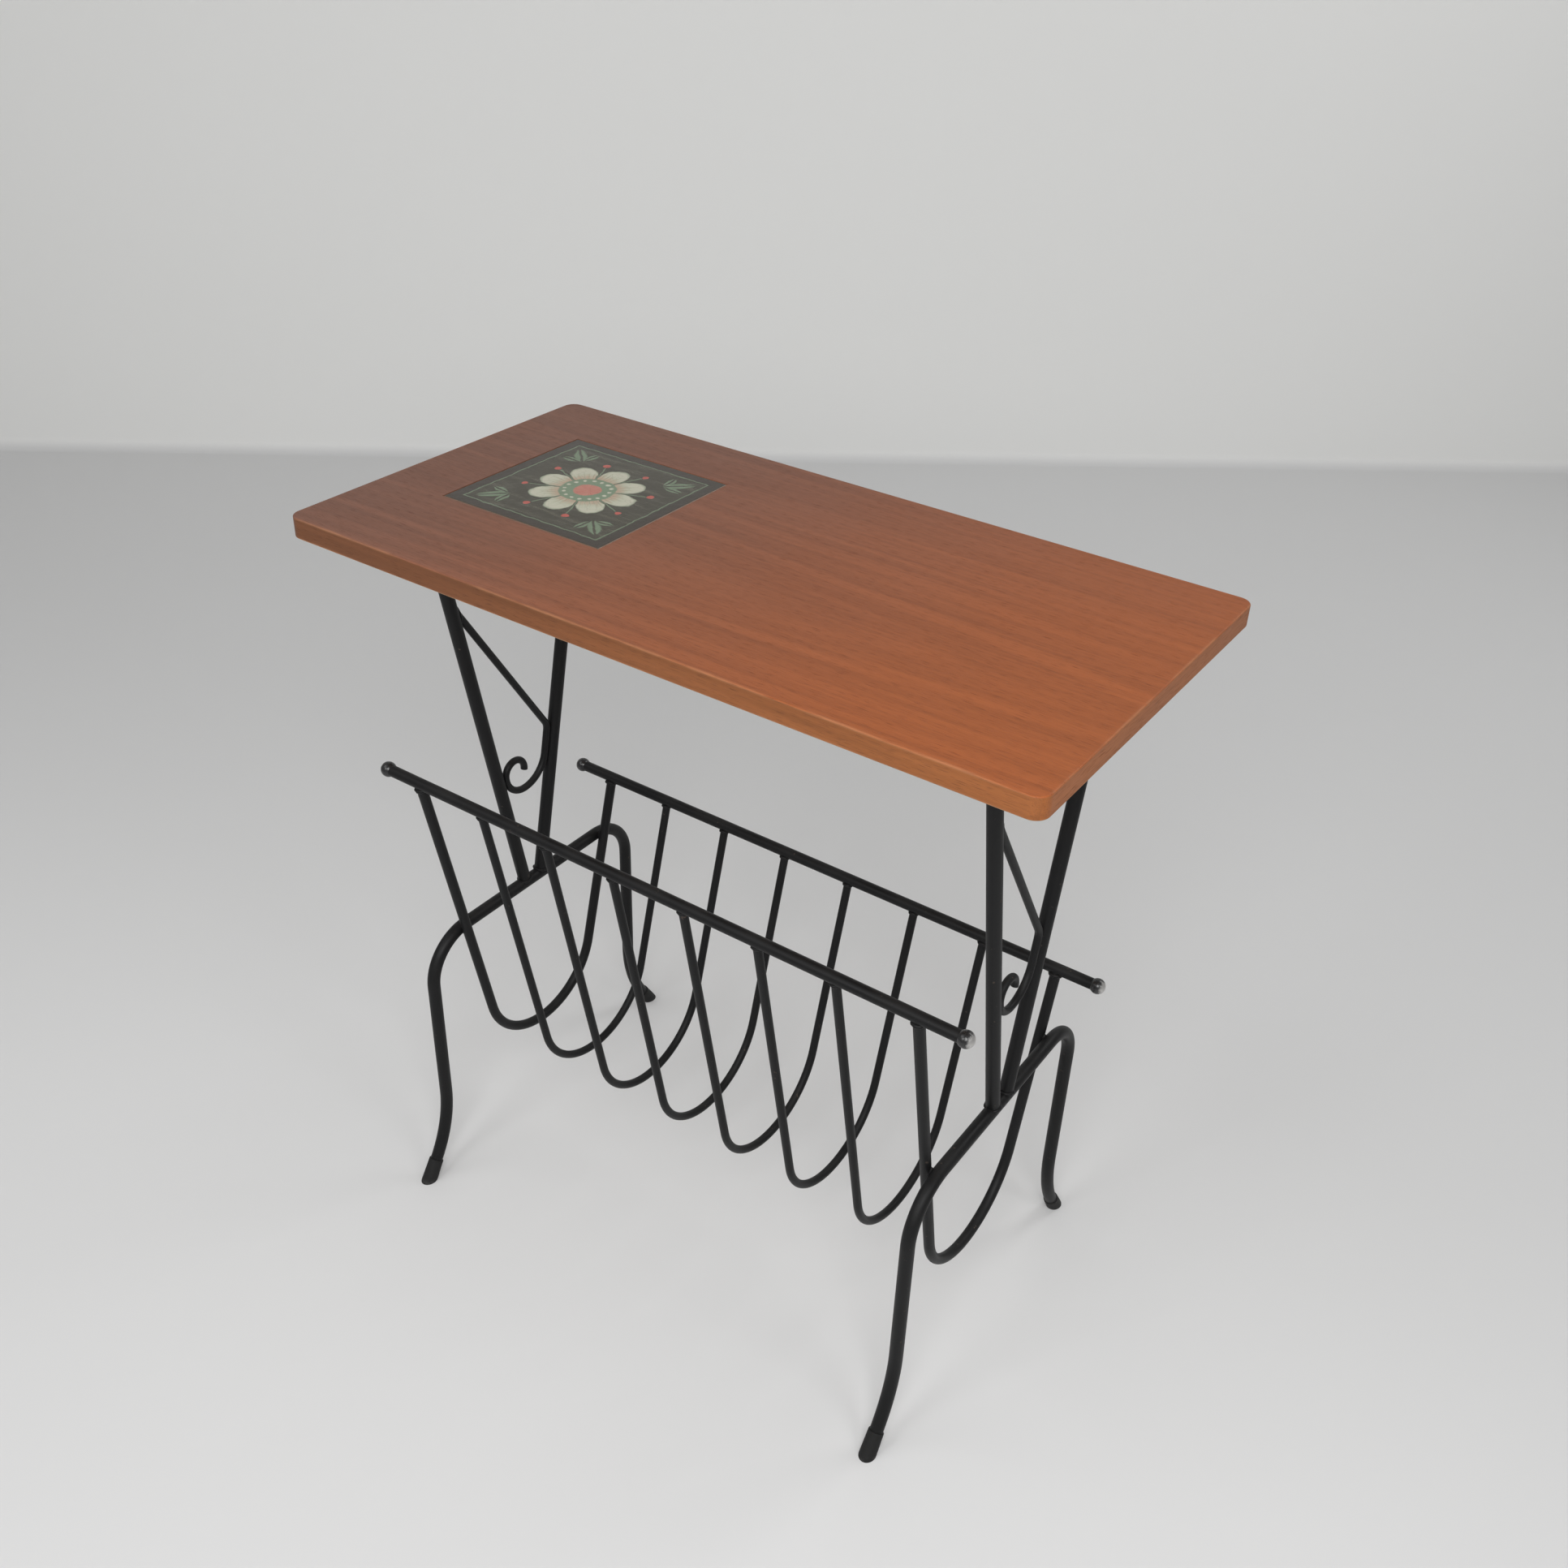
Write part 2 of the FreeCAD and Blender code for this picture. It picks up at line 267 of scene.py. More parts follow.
def wood(name, grain_axis, lit_palette, shaded_palette, least_roughness, shade_middle=0.0):
    """Flat-sawn wood: curved growth rings, streaks, short dark pores along the grain, and worn arrises.

    The two palettes are each a light, a dark and a pore colour: the lit one at the right end, and the shaded
    one, which is painted shade and a painted greyish sheen, towards the back left. The last argument is the
    x where the painted shade is half on.
    """
    worn_teak = (0.42, 0.20, 0.10)
    # Reach and slant of the painted shade and sheen across the wood
    shade_reach = 300 * mm
    shade_slant = 0.4
    log_tilt = 0.06
    log_depth = 46 * mm
    log_offset = 38 * mm
    ring_width = 9 * mm
    ring_slice = 0.37
    ring_sway = 14 * mm
    sway_length = 260 * mm
    sway_width = 60 * mm
    streak_length = 190 * mm
    streak_width = 3.2 * mm
    pore_length = 11 * mm
    pore_width = 0.42 * mm
    pore_depth = 0.05 * mm
    smudge_size = 70 * mm
    arris_low = 0.3 * mm
    arris_high = 2.2 * mm
    graph = Graph(name)
    x, y, z = graph.place
    # Painted shade and sheen: the lit palette at the front right turns into the darker, greyer shaded
    # palette towards the back left
    lit_share = graph.step(x - y * shade_slant - shade_middle, -shade_reach, shade_reach)
    light, dark, pore = [graph.mix(lit_share, old, new) for old, new in zip(shaded_palette, lit_palette)]

    along, across = (x, y) if grain_axis == "x" else (y, x)
    sway = graph.noise(along / sway_length, across / sway_width, z / sway_width, detail=2.0) * ring_sway
    depth = along * log_tilt + (log_depth - top_high.z) + z
    offset = across + log_offset + sway
    ring = graph.math("SQRT", depth * depth + offset * offset) / ring_width
    rings = graph.step(graph.noise(ring, ring * ring_slice, 0.0, detail=2.0), 0.3, 0.72)
    streaks = graph.noise(along / streak_length, across / streak_width, z / streak_width, 4.0, 0.6)
    streaks = graph.step(streaks, 0.3, 0.7)
    colour = graph.mix(rings * 0.5 + streaks * 0.5, light, dark)
    pores = graph.noise(along / pore_length, across / pore_width, z / pore_width, detail=1.0)
    pores = graph.step(pores, 0.56, 0.70)
    colour = graph.mix(pores * 0.5, colour, pore)

    smudge = graph.clouds(smudge_size)
    from_side = graph.math("MINIMUM", top_high.x - abs(x), top_high.y - abs(y))
    from_face = (top_high.z - underside) / 2 - abs(z - (top_high.z + underside) / 2)
    arris = 1 - graph.step(graph.largest(from_side, from_face), arris_low, arris_high)
    worn = arris * graph.step(smudge + streaks * 0.15, 0.45, 0.70)
    colour = graph.mix(worn * 0.4, colour, worn_teak)
    roughness = least_roughness + pores * 0.16 + smudge * 0.12 + worn * 0.1
    graph.relief(1 - pores, pore_depth)
    return graph.finish({"Base Color": colour, "Roughness": roughness, "Specular IOR Level": 0.25})


def raw_board(name):
    """Core board of glued softwood strips, seen only in the gap round the tile."""
    pale_strip = (0.62, 0.45, 0.26)
    dark_strip = (0.40, 0.25, 0.13)
    strip_width = 24 * mm
    grain_length = 80 * mm
    grain_width = 1.5 * mm
    grain_depth = 0.05 * mm
    graph = Graph(name)
    x, y, z = graph.place
    strips = graph.noise(graph.math("FLOOR", y / strip_width), 0.0, 0.0, detail=0.0)
    grain = graph.noise(x / grain_length, y / grain_width, z / grain_width)
    colour = graph.mix(strips * 0.6 + grain * 0.4, pale_strip, dark_strip)
    graph.relief(grain, grain_depth)
    return graph.finish({"Base Color": colour, "Roughness": 0.7 + grain * 0.2})


class Painting:
    """Picture painted by hand on the tile, one coat over another.

    u and v are places on the tile. They and all sizes are shares of half its side, from its middle.
    fan is a noise of brush strokes that fan out from the middle.
    """

    fan_strokes = 14.0
    fan_breaks = 2.5
    disc_edge = 0.02
    dot_edge = 0.012
    line_edge = 0.008

    def __init__(self, graph, u, v, first_coat):
        self.graph = graph
        self.u = u
        self.v = v
        self.colour = first_coat
        self.radius = graph.math("SQRT", u * u + v * v)
        self.angle = graph.math("ARCTAN2", v, u)
        around = [place / self.radius * self.fan_strokes for place in (u, v)]
        self.fan = graph.noise(*around, self.radius * self.fan_breaks, detail=2.0)

    def coat(self, share, colour):
        """Paints a colour over the picture, as thickly as the share says."""
        self.colour = self.graph.mix(share, self.colour, colour)

    def disc(self, size):
        """Round spot in the middle."""
        return self.graph.step(size - self.radius, 0.0, self.disc_edge)

    def line(self, distance, width):
        """Thin line, given the distance to its middle."""
        return self.graph.step(width - distance, 0.0, self.line_edge)

    def from_spoke(self, count, start):
        """Angle to the nearest of some spokes, evenly spaced about the middle from a start angle."""
        swing = self.graph.math("COSINE", (self.angle - start) * count)
        return self.graph.math("ARCCOSINE", swing) / count

    def dots(self, count, start, ring_radius, size):
        """Round dots, evenly spaced on a ring about the middle from a start angle."""
        away = self.from_spoke(count, start) * ring_radius
        out = self.radius - ring_radius
        distance = self.graph.math("SQRT", away * away + out * out)
        return self.graph.step(size - distance, 0.0, self.dot_edge)

    def leaf(self, along, across, length, width):
        """Pointed leaf with a bare line along its middle, given the places along and across it."""
        blade = self.graph.step(1 - abs(across) / width - along * along / (length * length), 0.0, 0.3)
        return blade * self.graph.step(abs(across), 0.006, 0.018)


def paint_sprigs(painting):
    """Leaf with two leaflets in each corner."""
    leaf_place = 0.93
    leaf_length = 0.20
    leaf_width = 0.075
    leaflet_root = 0.17
    leaflet_place = 0.14
    leaflet_length = 0.13
    leaflet_width = 0.05
    leaflet_turn = math.radians(50)
    diagonal = math.sqrt(0.5)
    along = (abs(painting.u) + abs(painting.v)) * diagonal - leaf_place
    across = abs(abs(painting.u) - abs(painting.v)) * diagonal
    from_root = along + leaflet_root
    side_along = from_root * math.cos(leaflet_turn) + across * math.sin(leaflet_turn) - leaflet_place
    side_across = across * math.cos(leaflet_turn) - from_root * math.sin(leaflet_turn)
    leaf = painting.leaf(along, across, leaf_length, leaf_width)
    leaflets = painting.leaf(side_along, side_across, leaflet_length, leaflet_width)
    sprig = painting.graph.largest(leaf, leaflets)
    painting.coat(sprig * (painting.fan * 0.5 + 0.6), leaf_green)


def paint_berries(painting):
    """Red berries on stems, one between each two petals."""
    stem_width = 0.012
    stem_end = 0.62
    stem_fade = 0.02
    berry_ring = 0.66
    berry_size = 0.042
    half_petal = math.pi / petals
    stem = painting.line(painting.from_spoke(petals, half_petal) * painting.radius, stem_width)
    stem = stem * (1 - painting.graph.step(painting.radius, stem_end - stem_fade, stem_end))
    painting.coat(stem * 0.8, leaf_green)
    painting.coat(painting.dots(petals, half_petal, berry_ring, berry_size), red)


def paint_flower(painting):
    """Rosette of veined petals with a green heart, pale stamens and a red eye."""
    petal_root = 0.30
    petal_length = 0.30
    petal_veins = 6
    heart_size = 0.30
    stamens = 16
    stamen_ring = 0.235
    stamen_size = 0.026
    eye_size = 0.15
    graph = painting.graph
    radius = painting.radius
    fan = painting.fan
    lobe = abs(graph.math("COSINE", painting.angle * (petals / 2)))
    inside = lobe ** 0.5 * petal_length + petal_root - radius
    flower = graph.step(inside, 0.0, painting.disc_edge) * graph.step(lobe, 0.10, 0.22)
    petal = graph.mix(graph.step(radius + fan * 0.2, 0.25, 0.62), pale_green, cream)
    petal = graph.mix((1 - graph.step(radius + fan * 0.2, 0.36, 0.54)) * 0.7, petal, blush)
    vein = abs(graph.math("SINE", painting.angle * (petals * petal_veins / 2)))
    vein = (1 - graph.step(vein, 0.05, 0.40)) * (1 - graph.step(radius + fan * 0.3, 0.44, 0.66))
    petal = graph.mix(vein * 0.6, petal, leaf_green)
    petal = graph.mix((1 - graph.step(inside, 0.015, 0.05)) * 0.55, petal, leaf_green)
    painting.coat(flower, petal)
    painting.coat(painting.disc(heart_size), leaf_green)
    painting.coat(painting.dots(stamens, 0.0, stamen_ring, stamen_size), cream)
    painting.coat(painting.disc(eye_size), graph.mix(fan, red, blush))


def paint_border(painting):
    """Dark border, and a green line along its inner side."""
    border_start = 0.87
    border_edge = 0.015
    line_place = 0.86
    line_width = 0.012
    edge = painting.graph.largest(abs(painting.u), abs(painting.v))
    painting.coat(painting.graph.step(edge, border_start, border_start + border_edge), border)
    painting.coat(painting.line(abs(edge - line_place), line_width) * 0.7, leaf_green)


def glazed_tile(name):
    """Tile with a generic painted rosette under a crackled glaze, and clay showing along its rim."""
    hand_size = 9 * mm
    hand_waver = 0.05
    hand_layers = (3.0, 8.0)
    stroke_length = 30 * mm
    stroke_width = 5 * mm
    crackle_size = 7 * mm
    pool_size = 22 * mm
    glaze_depth = 0.25 * mm
    graph = Graph(name)
    x, y = graph.place[:2]
    middle = (tile_low + tile_high) / 2
    half = (tile_high.x - tile_low.x) / 2
    wavers = [graph.noise(x / hand_size, y / hand_size, layer, detail=2.0) - 0.5 for layer in hand_layers]
    u = (x - middle.x) / half + wavers[0] * hand_waver
    v = (y - middle.y) / half + wavers[1] * hand_waver
    strokes = graph.step(graph.noise(x / stroke_length, y / stroke_width, 0.0), 0.42, 0.72)
    painting = Painting(graph, u, v, graph.mix(strokes, ground, ground_stroke))
    paint_sprigs(painting)
    paint_berries(painting)
    paint_flower(painting)
    paint_border(painting)

    crack = graph.step(graph.cracks(crackle_size), 0.0, 0.025)
    colour = graph.mix((1 - crack) * 0.25, painting.colour, border)
    rim = graph.largest(abs(x - middle.x), abs(y - middle.y)) / half
    colour = graph.mix(graph.step(rim, 0.986, 0.998) * 0.6, colour, clay)
    pool = graph.clouds(pool_size, detail=2.0)
    graph.relief(pool * 0.9 + crack * 0.1, glaze_depth)
    return graph.finish({"Base Color": colour, "Roughness": 0.07 + pool * 0.10, "Specular IOR Level": 0.37})


def lacquered_iron(name):
    """Satin black lacquer on round iron: orange peel, worn and chipped spots, and dust on top."""
    black = (0.0055, 0.0055, 0.0058)
    rubbed_black = (0.0105, 0.0105, 0.0108)
    dust_grey = (0.20, 0.19, 0.18)
    bare_iron = (0.055, 0.043, 0.036)
    peel_size = 1.4 * mm
    patch_size = 35 * mm
    chip_size = 4.5 * mm
    lacquer_depth = 0.06 * mm
    graph = Graph(name)
    peel = graph.clouds(peel_size, detail=2.0)
    patch = graph.clouds(patch_size, detail=4.0)
    chips = graph.clouds(chip_size, detail=5.0, roughness=0.6)
    chips = graph.step(chips + patch * 0.18, 0.785, 0.80)
    dust = graph.step(graph.facing_up(), 0.2, 1.0) * graph.step(patch, 0.35, 0.75)
    colour = graph.mix(patch, black, rubbed_black)
    colour = graph.mix(dust * 0.035, colour, dust_grey)
    colour = graph.mix(chips, colour, bare_iron)
    graph.relief(peel * 0.35 + (1 - chips) * 0.65, lacquer_depth)
    roughness = 0.38 + patch * 0.14 + dust * 0.15 + chips * 0.25
    return graph.finish({"Base Color": colour, "Roughness": roughness, "Specular IOR Level": 0.17})


def worn_knob(name):
    """Black lacquer on a metal ball, worn through to the dull metal at its outer end."""
    black = (0.010, 0.010, 0.0105)
    rubbed_black = (0.020, 0.020, 0.0205)
    dull_metal = (0.52, 0.51, 0.50)
    bright_metal = (0.66, 0.65, 0.63)
    cloud_size = 2 * mm
    wear_start = 3.5 * mm
    wear_end = 0.8 * mm
    wear_raggedness = 3 * mm
    scratch_width = 0.5 * mm
    scratch_length = 4.5 * mm
    scratch_depth = 0.01 * mm
    graph = Graph(name)
    x, y, z = graph.place
    cloud = graph.clouds(cloud_size)
    from_tip = knob_tip - abs(x) + (cloud - 0.5) * wear_raggedness
    worn = 1 - graph.step(from_tip, wear_end, wear_start)
    scratch = graph.noise(x / scratch_width, y / scratch_length, z / scratch_width, detail=2.0)
    scratch = graph.step(scratch, 0.5, 0.75)
    lacquer = graph.mix(cloud, black, rubbed_black)
    metal = graph.mix(cloud, dull_metal, bright_metal)
    graph.relief(1 - scratch, scratch_depth)
    return graph.finish({"Base Color": graph.mix(worn, lacquer, metal), "Metallic": worn,
                         "Roughness": 0.24 + worn * 0.16 + scratch * 0.12})


def scuffed_rubber(name):
    """Dull black rubber, greyed by the floor near its foot."""
    black = (0.006, 0.006, 0.006)
    dusty_black = (0.012, 0.0117, 0.0113)
    scuff_grey = (0.10, 0.097, 0.094)
    speckle_size = 0.6 * mm
    speckle_depth = 0.05 * mm
    cloud_size = 6 * mm
    scuff_height = 5 * mm
    graph = Graph(name)
    height = graph.place[2]
    speckle = graph.clouds(speckle_size, detail=2.0)
    cloud = graph.clouds(cloud_size)
    scuff = graph.step(1 - height / scuff_height, 0.0, 1.0) * graph.step(cloud, 0.4, 0.65)
    colour = graph.mix(speckle, black, dusty_black)
    colour = graph.mix(scuff * 0.3, colour, scuff_grey)
    graph.relief(speckle, speckle_depth)
    return graph.finish({"Base Color": colour, "Roughness": 0.62 + cloud * 0.2, "Specular IOR Level": 0.3})


def zinc_steel(name):
    """Zinc-plated steel with a fine turned grain."""
    bright_zinc = (0.62, 0.61, 0.57)
    dull_zinc = (0.44, 0.43, 0.41)
    grain_length = 2 * mm
    grain_width = 0.25 * mm
    grain_depth = 0.01 * mm
    cloud_size = 3 * mm
    graph = Graph(name)
    x, y, z = graph.place
    grain = graph.noise(x / grain_width, y / grain_length, z / grain_width, detail=2.0)
    colour = graph.mix(graph.clouds(cloud_size), bright_zinc, dull_zinc)
    graph.relief(grain, grain_depth)
    return graph.finish({"Base Color": colour, "Metallic": 1.0, "Roughness": 0.28 + grain * 0.2})


def studio_paint(name):
    """Plain pale paint with faint clouds, for the floor and, a little paler, the wall."""
    floor_pale = (0.68, 0.68, 0.68)
    floor_deep = (0.66, 0.66, 0.66)
    wall_pale = (0.87, 0.87, 0.855)
    wall_deep = (0.855, 0.855, 0.84)
    cloud_size = 0.9
    graph = Graph(name)
    height = graph.place[2]
    cloud = graph.clouds(cloud_size)
    on_wall = graph.step(height, 0.0, cove_radius)
    pale = graph.mix(on_wall, floor_pale, wall_pale)
    deep = graph.mix(on_wall, floor_deep, wall_deep)
    return graph.finish({"Base Color": graph.mix(cloud, pale, deep), "Roughness": 0.75 + cloud * 0.1})


def bead(mesh, middles, sides, ups, radii, closed):
    """Lumpy tube along some middles, each with two directions across the tube and a radius."""
    angles = [turn * step / bead_sides for step in range(bead_sides)]
    rings = []
    for middle, side, up, radius in zip(middles, sides, ups, radii):
        spokes = [(side * math.cos(angle) + up * math.sin(angle)) * radius for angle in angles]
        rings.append([mesh.verts.new(middle + spoke) for spoke in spokes])
    followers = rings[1:] + rings[:1] if closed else rings[1:]
    for ring, follower in zip(rings, followers):
        for step in range(bead_sides):
            after = (step + 1) % bead_sides
            mesh.faces.new((ring[step], ring[after], follower[after], follower[step]))
    if not closed:
        mesh.faces.new(rings[0][::-1])
        mesh.faces.new(rings[-1])


def ripple(share):
    """Thickness of a weld along its length, with the waves that the torch leaves."""
    return 1 + bead_ripple * math.sin(turn * bead_waves * share) + bead_ripple * rng.uniform(-0.5, 0.5)


def ring_weld(mesh, centre, axis, ring_radius, thickness, stretch=1.0):
    """Weld right round a rod, where its end meets another piece.

    axis is square to X. The ring may be stretched square to both, for a rod that meets the piece at a slant.
    """
    first = Vector((1, 0, 0))
    second = axis.cross(first)
    shares = [step / bead_steps for step in range(bead_steps)]
    circle = [(math.cos(turn * share), math.sin(turn * share)) for share in shares]
    sides = [first * c + second * s for c, s in circle]
    middles = [centre + (first * c + second * s * stretch) * ring_radius for c, s in circle]
    radii = [thickness * ripple(share) for share in shares]
    bead(mesh, middles, sides, [axis] * bead_steps, radii, True)


def seam_weld(mesh, start, end, out, thickness):
    """Short weld that fills the groove between two rods that lie side by side."""
    side = (end - start).normalized().cross(out).normalized()
    shares = [step / bead_steps for step in range(bead_steps + 1)]
    middles = [start.lerp(end, share) for share in shares]
    tapers = [math.sqrt(max(math.sin(math.pi * share), seam_tip)) for share in shares]
    radii = [thickness * ripple(share) * taper for share, taper in zip(shares, tapers)]
    bead(mesh, middles, [side] * len(shares), [out] * len(shares), radii, False)


def rack_welds():
    """Welds where the hoops end under the rails."""
    mesh = bmesh.new()
    for rail, lean in (("front", -front_arm_lean), ("back", back_arm_lean)):
        low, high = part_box(f"rack_rail_{rail}")
        middle = (low + high) / 2
        rail_radius = (high.z - low.z) / 2
        down_arm = Vector((0, -math.sin(lean), -math.cos(lean)))
        for number in range(1, hoop_count + 1):
            hoop_low, hoop_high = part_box(f"rack_hoop_{number}")
            hoop_radius = (hoop_high.x - hoop_low.x) / 2
            on_rail = Vector(((hoop_low.x + hoop_high.x) / 2, middle.y, middle.z))
            centre = on_rail + down_arm * (rail_radius + arm_bead_drop)
            ring_weld(mesh, centre, down_arm, hoop_radius, arm_bead_share * hoop_radius + arm_bead_extra)
    return mesh


class Post:
    """Middle line of a post, from its foot on the leg arch to its head under the top."""

    def __init__(self, end, face):
        x = -arch_x if end == "left" else arch_x
        out = -1 if face == "front" else 1
        low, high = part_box(f"post_{end}_{face}")
        nearest, farthest = sorted((abs(low.y), abs(high.y)))
        self.radius = (high.x - low.x) / 2
        self.foot = Vector((x, out * (nearest + self.radius), arch_high.z))
        self.head = Vector((x, out * (farthest - self.radius), high.z))
        self.up = (self.head - self.foot).normalized()
        self.inward = Vector((0, -out * self.up.z, abs(self.up.y)))

    def inner_side(self, height):
        """Place at a height on the side that faces the other post."""
        start = self.foot + self.inward * self.radius
        return start + self.up * ((height - start.z) / self.up.z)


def frame_welds():
    """Welds at both ends of the posts, along the scrolls, and between the end hoops and the leg arches."""
    mesh = bmesh.new()
    scroll_low, scroll_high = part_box("scroll_right")
    scroll_radius = (scroll_high.x - scroll_low.x) / 2
    head_stretch = 1 / math.sin(scroll_head_slant)
    arch_radius = (arch_high.x - arch_low.x) / 2
    half_tack = Vector((0, 0, tack_length / 2))
    for end, side in (("left", -1), ("right", 1)):
        front = Post(end, "front")
        back = Post(end, "back")
        for post in (front, back):
            ring_weld(mesh, post.foot - post.up * post_foot_sink, post.up, post.radius, post_foot_bead)
            ring_weld(mesh, post.head, post.up, post.radius, post_head_bead)
        scroll_head = front.inner_side(scroll_head_height)
        ring_weld(mesh, scroll_head, front.inward, scroll_radius, scroll_head_bead, head_stretch)
        for post, heights in ((back, scroll_seam_heights), (front, curl_touch_heights)):
            seam_start, seam_end = [post.inner_side(height) for height in heights]
            seam_weld(mesh, seam_start, seam_end, post.inward, scroll_seam_bead)
        for y, z in hoop_tacks:
            place = Vector((side * (arch_x - arch_radius), y, z))
            seam_weld(mesh, place - half_tack, place + half_tack, Vector((side, 0, 0)), tack_bead)
    return mesh


def add_piece(name, mesh, material):
    """Object from a bmesh that moves with the table."""
    data = bpy.data.meshes.new(name)
    mesh.normal_update()
    mesh.to_mesh(data)
    mesh.free()
    for face in data.polygons:
        face.use_smooth = True
    data.materials.append(material)
    piece = bpy.data.objects.new(name, data)
    bpy.context.scene.collection.objects.link(piece)
    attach(piece, body)
    return piece


def cut_away(piece, cutter):
    """Cuts the shape of a bmesh out of a piece."""
    data = bpy.data.meshes.new("cutter")
    cutter.to_mesh(data)
    cutter.free()
    tool = bpy.data.objects.new("cutter", data)
    bpy.context.scene.collection.objects.link(tool)
    cut = piece.modifiers.new("cut", "BOOLEAN")
    cut.operation = "DIFFERENCE"
    cut.object = tool
    piece.data = bpy.data.meshes.new_from_object(piece.evaluated_get(bpy.context.evaluated_depsgraph_get()))
    piece.modifiers.clear()
    bpy.data.objects.remove(tool)


def slotted_screws(material):
    """Round-head wood screws that hold the strips, with slots at odd angles."""
    shank_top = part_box("mounting_screws")[1].z
    seat = strip_low.z
    arc = [math.pi / 2 * step / screw_head_steps for step in range(screw_head_steps + 1)]
    profile = [(0, shank_top), (screw_radius, shank_top), (screw_radius, seat)]
    profile += [(screw_head_radius * math.cos(a), seat - screw_head_height * math.sin(a)) for a in arc]
    slot_size = Vector((screw_slot_length, screw_slot_width, 2 * screw_slot_depth))
    slot_shape = Matrix.Diagonal(slot_size).to_4x4()
    screw_y = strip_high.y - screw_inset
    mesh = bmesh.new()
    cutter = bmesh.new()
    for x in (-arch_x, arch_x):
        for y in (-screw_y, 0, screw_y):
            verts = [mesh.verts.new((x + r, y, z)) for r, z in profile]
            edges = [mesh.edges.new(pair) for pair in zip(verts, verts[1:])]
            bmesh.ops.spin(mesh, geom=verts + edges, cent=(x, y, 0), axis=(0, 0, 1), angle=turn,
                           steps=screw_sides)
            slot_place = Matrix.Translation((x, y, seat - screw_head_height))
            slot_turn = Matrix.Rotation(rng.uniform(0, math.pi), 4, "Z")
            bmesh.ops.create_cube(cutter, matrix=slot_place @ slot_turn @ slot_shape)
    bmesh.ops.remove_doubles(mesh, verts=mesh.verts, dist=merge_distance)
    bmesh.ops.recalc_face_normals(mesh, faces=mesh.faces)
    piece = add_piece("slotted_screws", mesh, material)
    cut_away(piece, cutter)
    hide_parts("mounting_screws")


def dress_nodes():
    """Gives every CAD node the finish of its slot, and returns the finishes by slot."""
    # Each palette is a light, a dark and a pore colour
    # In each pair of teak palettes the first is lit, the second is the same teak in painted shade, darker
    # and greyer with a painted sheen
    orange_teak = ((0.368, 0.100, 0.0265), (0.265, 0.072, 0.019), (0.108, 0.030, 0.0115))
    brown_teak = ((0.207, 0.092, 0.059), (0.149, 0.067, 0.0435), (0.075, 0.032, 0.022))
    golden_teak = ((0.355, 0.118, 0.034), (0.256, 0.085, 0.024), (0.105, 0.035, 0.014))
    dull_teak = ((0.184, 0.072, 0.032), (0.132, 0.052, 0.023), (0.067, 0.025, 0.012))
    # Darker copies of the lipping teak, for the front and back lippings: painted shade on those edges
    golden_teak_in_painted_shade = ((0.315, 0.108, 0.033), (0.228, 0.078, 0.023), (0.094, 0.032, 0.013))
    dull_teak_in_painted_shade = ((0.166, 0.063, 0.027), (0.119, 0.046, 0.019), (0.060, 0.022, 0.010))
    plain_veneer = ((0.40, 0.25, 0.14), (0.29, 0.17, 0.09), (0.13, 0.07, 0.04))
    oiled = 0.40
    dry = 0.55
    # x where the painted shade on the lippings is half on
    lipping_shade_middle = 90 * mm
    long_lipping_in_painted_shade = wood("teak_lipping_long_painted_shade", "x", golden_teak_in_painted_shade, dull_teak_in_painted_shade, oiled, lipping_shade_middle)
    short_lipping = wood("teak_lipping_short", "y", golden_teak, dull_teak, oiled, lipping_shade_middle)
    finishes = {
        "teak_veneer": wood("teak_veneer_oiled", "x", orange_teak, brown_teak, oiled),
        "teak_lipping": long_lipping_in_painted_shade,
        "balancing_veneer": wood("balancing_veneer_plain", "x", plain_veneer, plain_veneer, dry),
        "blockboard": raw_board("blockboard_raw"),
        "glazed_tile": glazed_tile("tile_glaze"),
        "black_iron": lacquered_iron("black_iron_lacquer"),
        "worn_knob": worn_knob("knob_lacquer_worn"),
        "black_rubber": scuffed_rubber("black_rubber_scuffed"),
        "zinc_screw": zinc_steel("zinc_plate"),
    }
    node_finishes = {part["node"]: finishes[part["material_slot"]] for part in frame["record"]["subparts"]}
    # The end lippings keep the lighter lipping teak; the front and back ones carry the painted shade
    node_finishes["edge_lipping_left"] = short_lipping
    node_finishes["edge_lipping_right"] = short_lipping
    for node, finish in node_finishes.items():
        frame["nodes"][node].material_slots[0].material = finish
    return finishes


def add_studio():
    """Pale floor that turns up, square to the view, into a pale wall behind the table."""
    arc = [math.pi / 2 * step / cove_steps for step in range(cove_steps + 1)]
    cove_start = wall_distance - cove_radius
    profile = [(cove_start - floor_size, 0.0)]
    profile += [(cove_start + cove_radius * math.sin(a), cove_radius * (1 - math.cos(a))) for a in arc]
    profile.append((wall_distance, wall_height))
    heading = Matrix.Rotation(wall_azimuth, 3, "Z")
    corners = [heading @ Vector((side * floor_size / 2, y, z)) for y, z in profile for side in (-1, 1)]
    faces = [(n, n + 1, n + 3, n + 2) for n in range(0, len(corners) - 2, 2)]
    data = bpy.data.meshes.new("backdrop")
    data.from_pydata(corners, [], faces)
    data.materials.append(studio_paint("studio_paint"))
    backdrop = bpy.data.objects.new("backdrop", data)
    bpy.context.scene.collection.objects.link(backdrop)


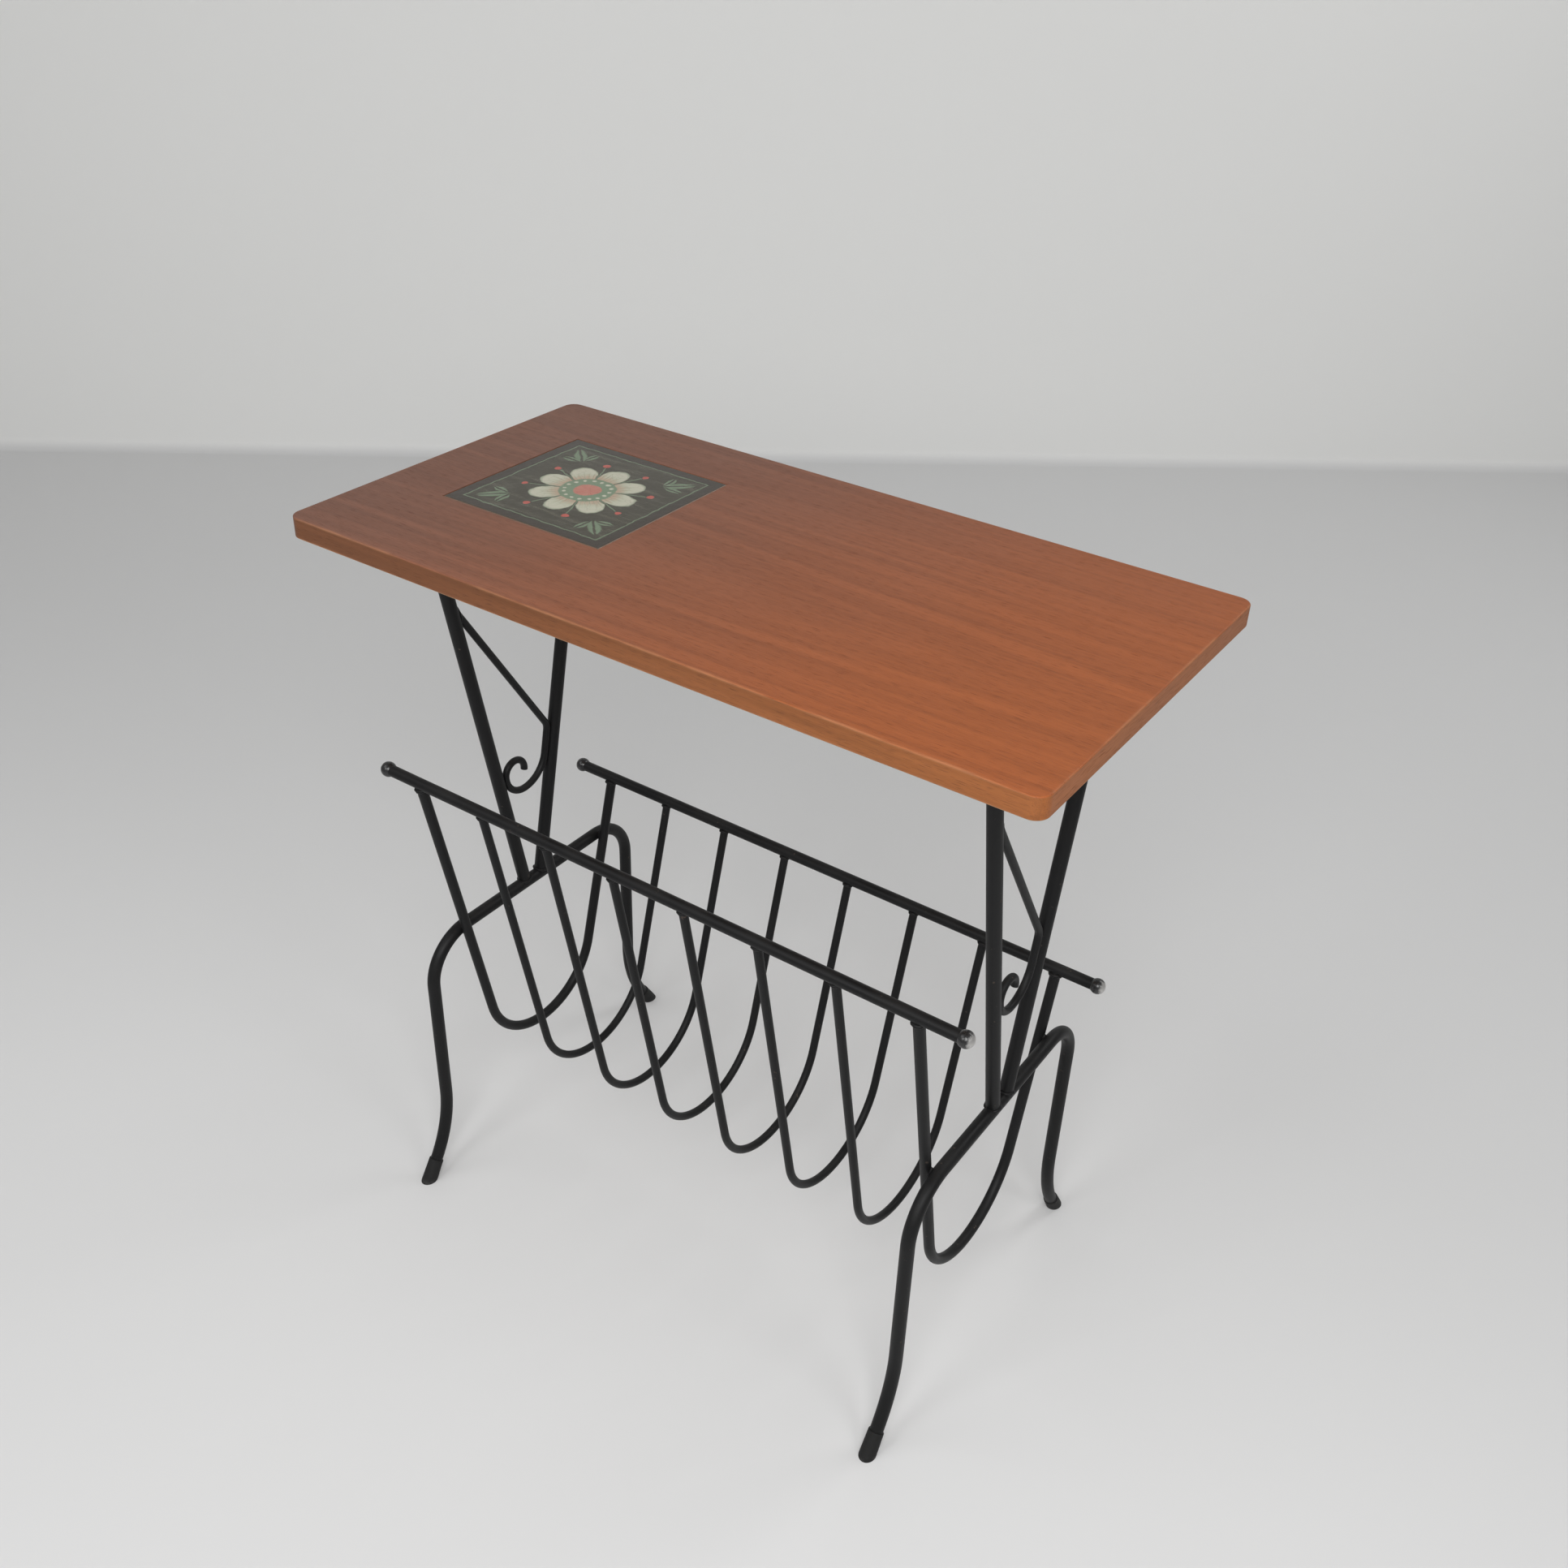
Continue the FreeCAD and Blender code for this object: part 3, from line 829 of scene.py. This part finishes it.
def add_lamp(name, place, size, power):
    """Round soft lamp that is aimed at the table."""
    data = bpy.data.lights.new(name, "AREA")
    data.shape = "DISK"
    data.size = size
    data.energy = power
    lamp = bpy.data.objects.new(name, data)
    lamp.location = place
    lamp.rotation_euler = (lamp_target - Vector(place)).to_track_quat("-Z", "Y").to_euler()
    bpy.context.scene.collection.objects.link(lamp)


def add_light():
    """Soft lamps beside the camera, at the left and at the back right, with an even fill."""
    add_lamp("camera_side", place=(0.837, -1.245, 1.5), size=1.0, power=20.2)
    add_lamp("front_left", place=(-0.216, -1.471, 1.3), size=0.6, power=6.2)
    add_lamp("front_right", place=(1.444, -0.355, 1.3), size=0.6, power=3.75)
    add_lamp("left", place=(-1.160, -1.142, 2.0), size=1.4, power=7.5)
    add_lamp("back_right", place=(0.909, 1.696, 1.9), size=1.0, power=9.9)
    world = bpy.data.worlds.new("studio")
    world.use_nodes = True
    background = world.node_tree.nodes["Background"]
    background.inputs["Color"].default_value = (1, 1, 1, 1)
    background.inputs["Strength"].default_value = fill_strength
    bpy.context.scene.world = world


def add_camera():
    """Camera at the photograph's place, with its field of view."""
    data = bpy.data.cameras.new("camera")
    data.sensor_width = sensor_width
    data.lens = focal_pixels / image_size * sensor_width
    camera = bpy.data.objects.new("camera", data)
    aim = Matrix.Rotation(camera_azimuth, 4, "Z") @ Matrix.Rotation(camera_tilt, 4, "X")
    camera.matrix_world = Matrix.Translation(camera_place) @ aim @ Matrix.Rotation(camera_roll, 4, "Z")
    bpy.context.scene.collection.objects.link(camera)
    bpy.context.scene.camera = camera


# Blender's own starting scene is cleared before anything is added
for left_over in ("Cube", "Light", "Camera"):
    if left_over in bpy.data.objects:
        bpy.data.objects.remove(bpy.data.objects[left_over])

finishes = dress_nodes()
add_piece("rack_welds", rack_welds(), finishes["black_iron"])
add_piece("frame_welds", frame_welds(), finishes["black_iron"])
slotted_screws(finishes["zinc_screw"])
add_studio()
add_light()
add_camera()
bpy.context.scene.view_settings.view_transform = "Standard"
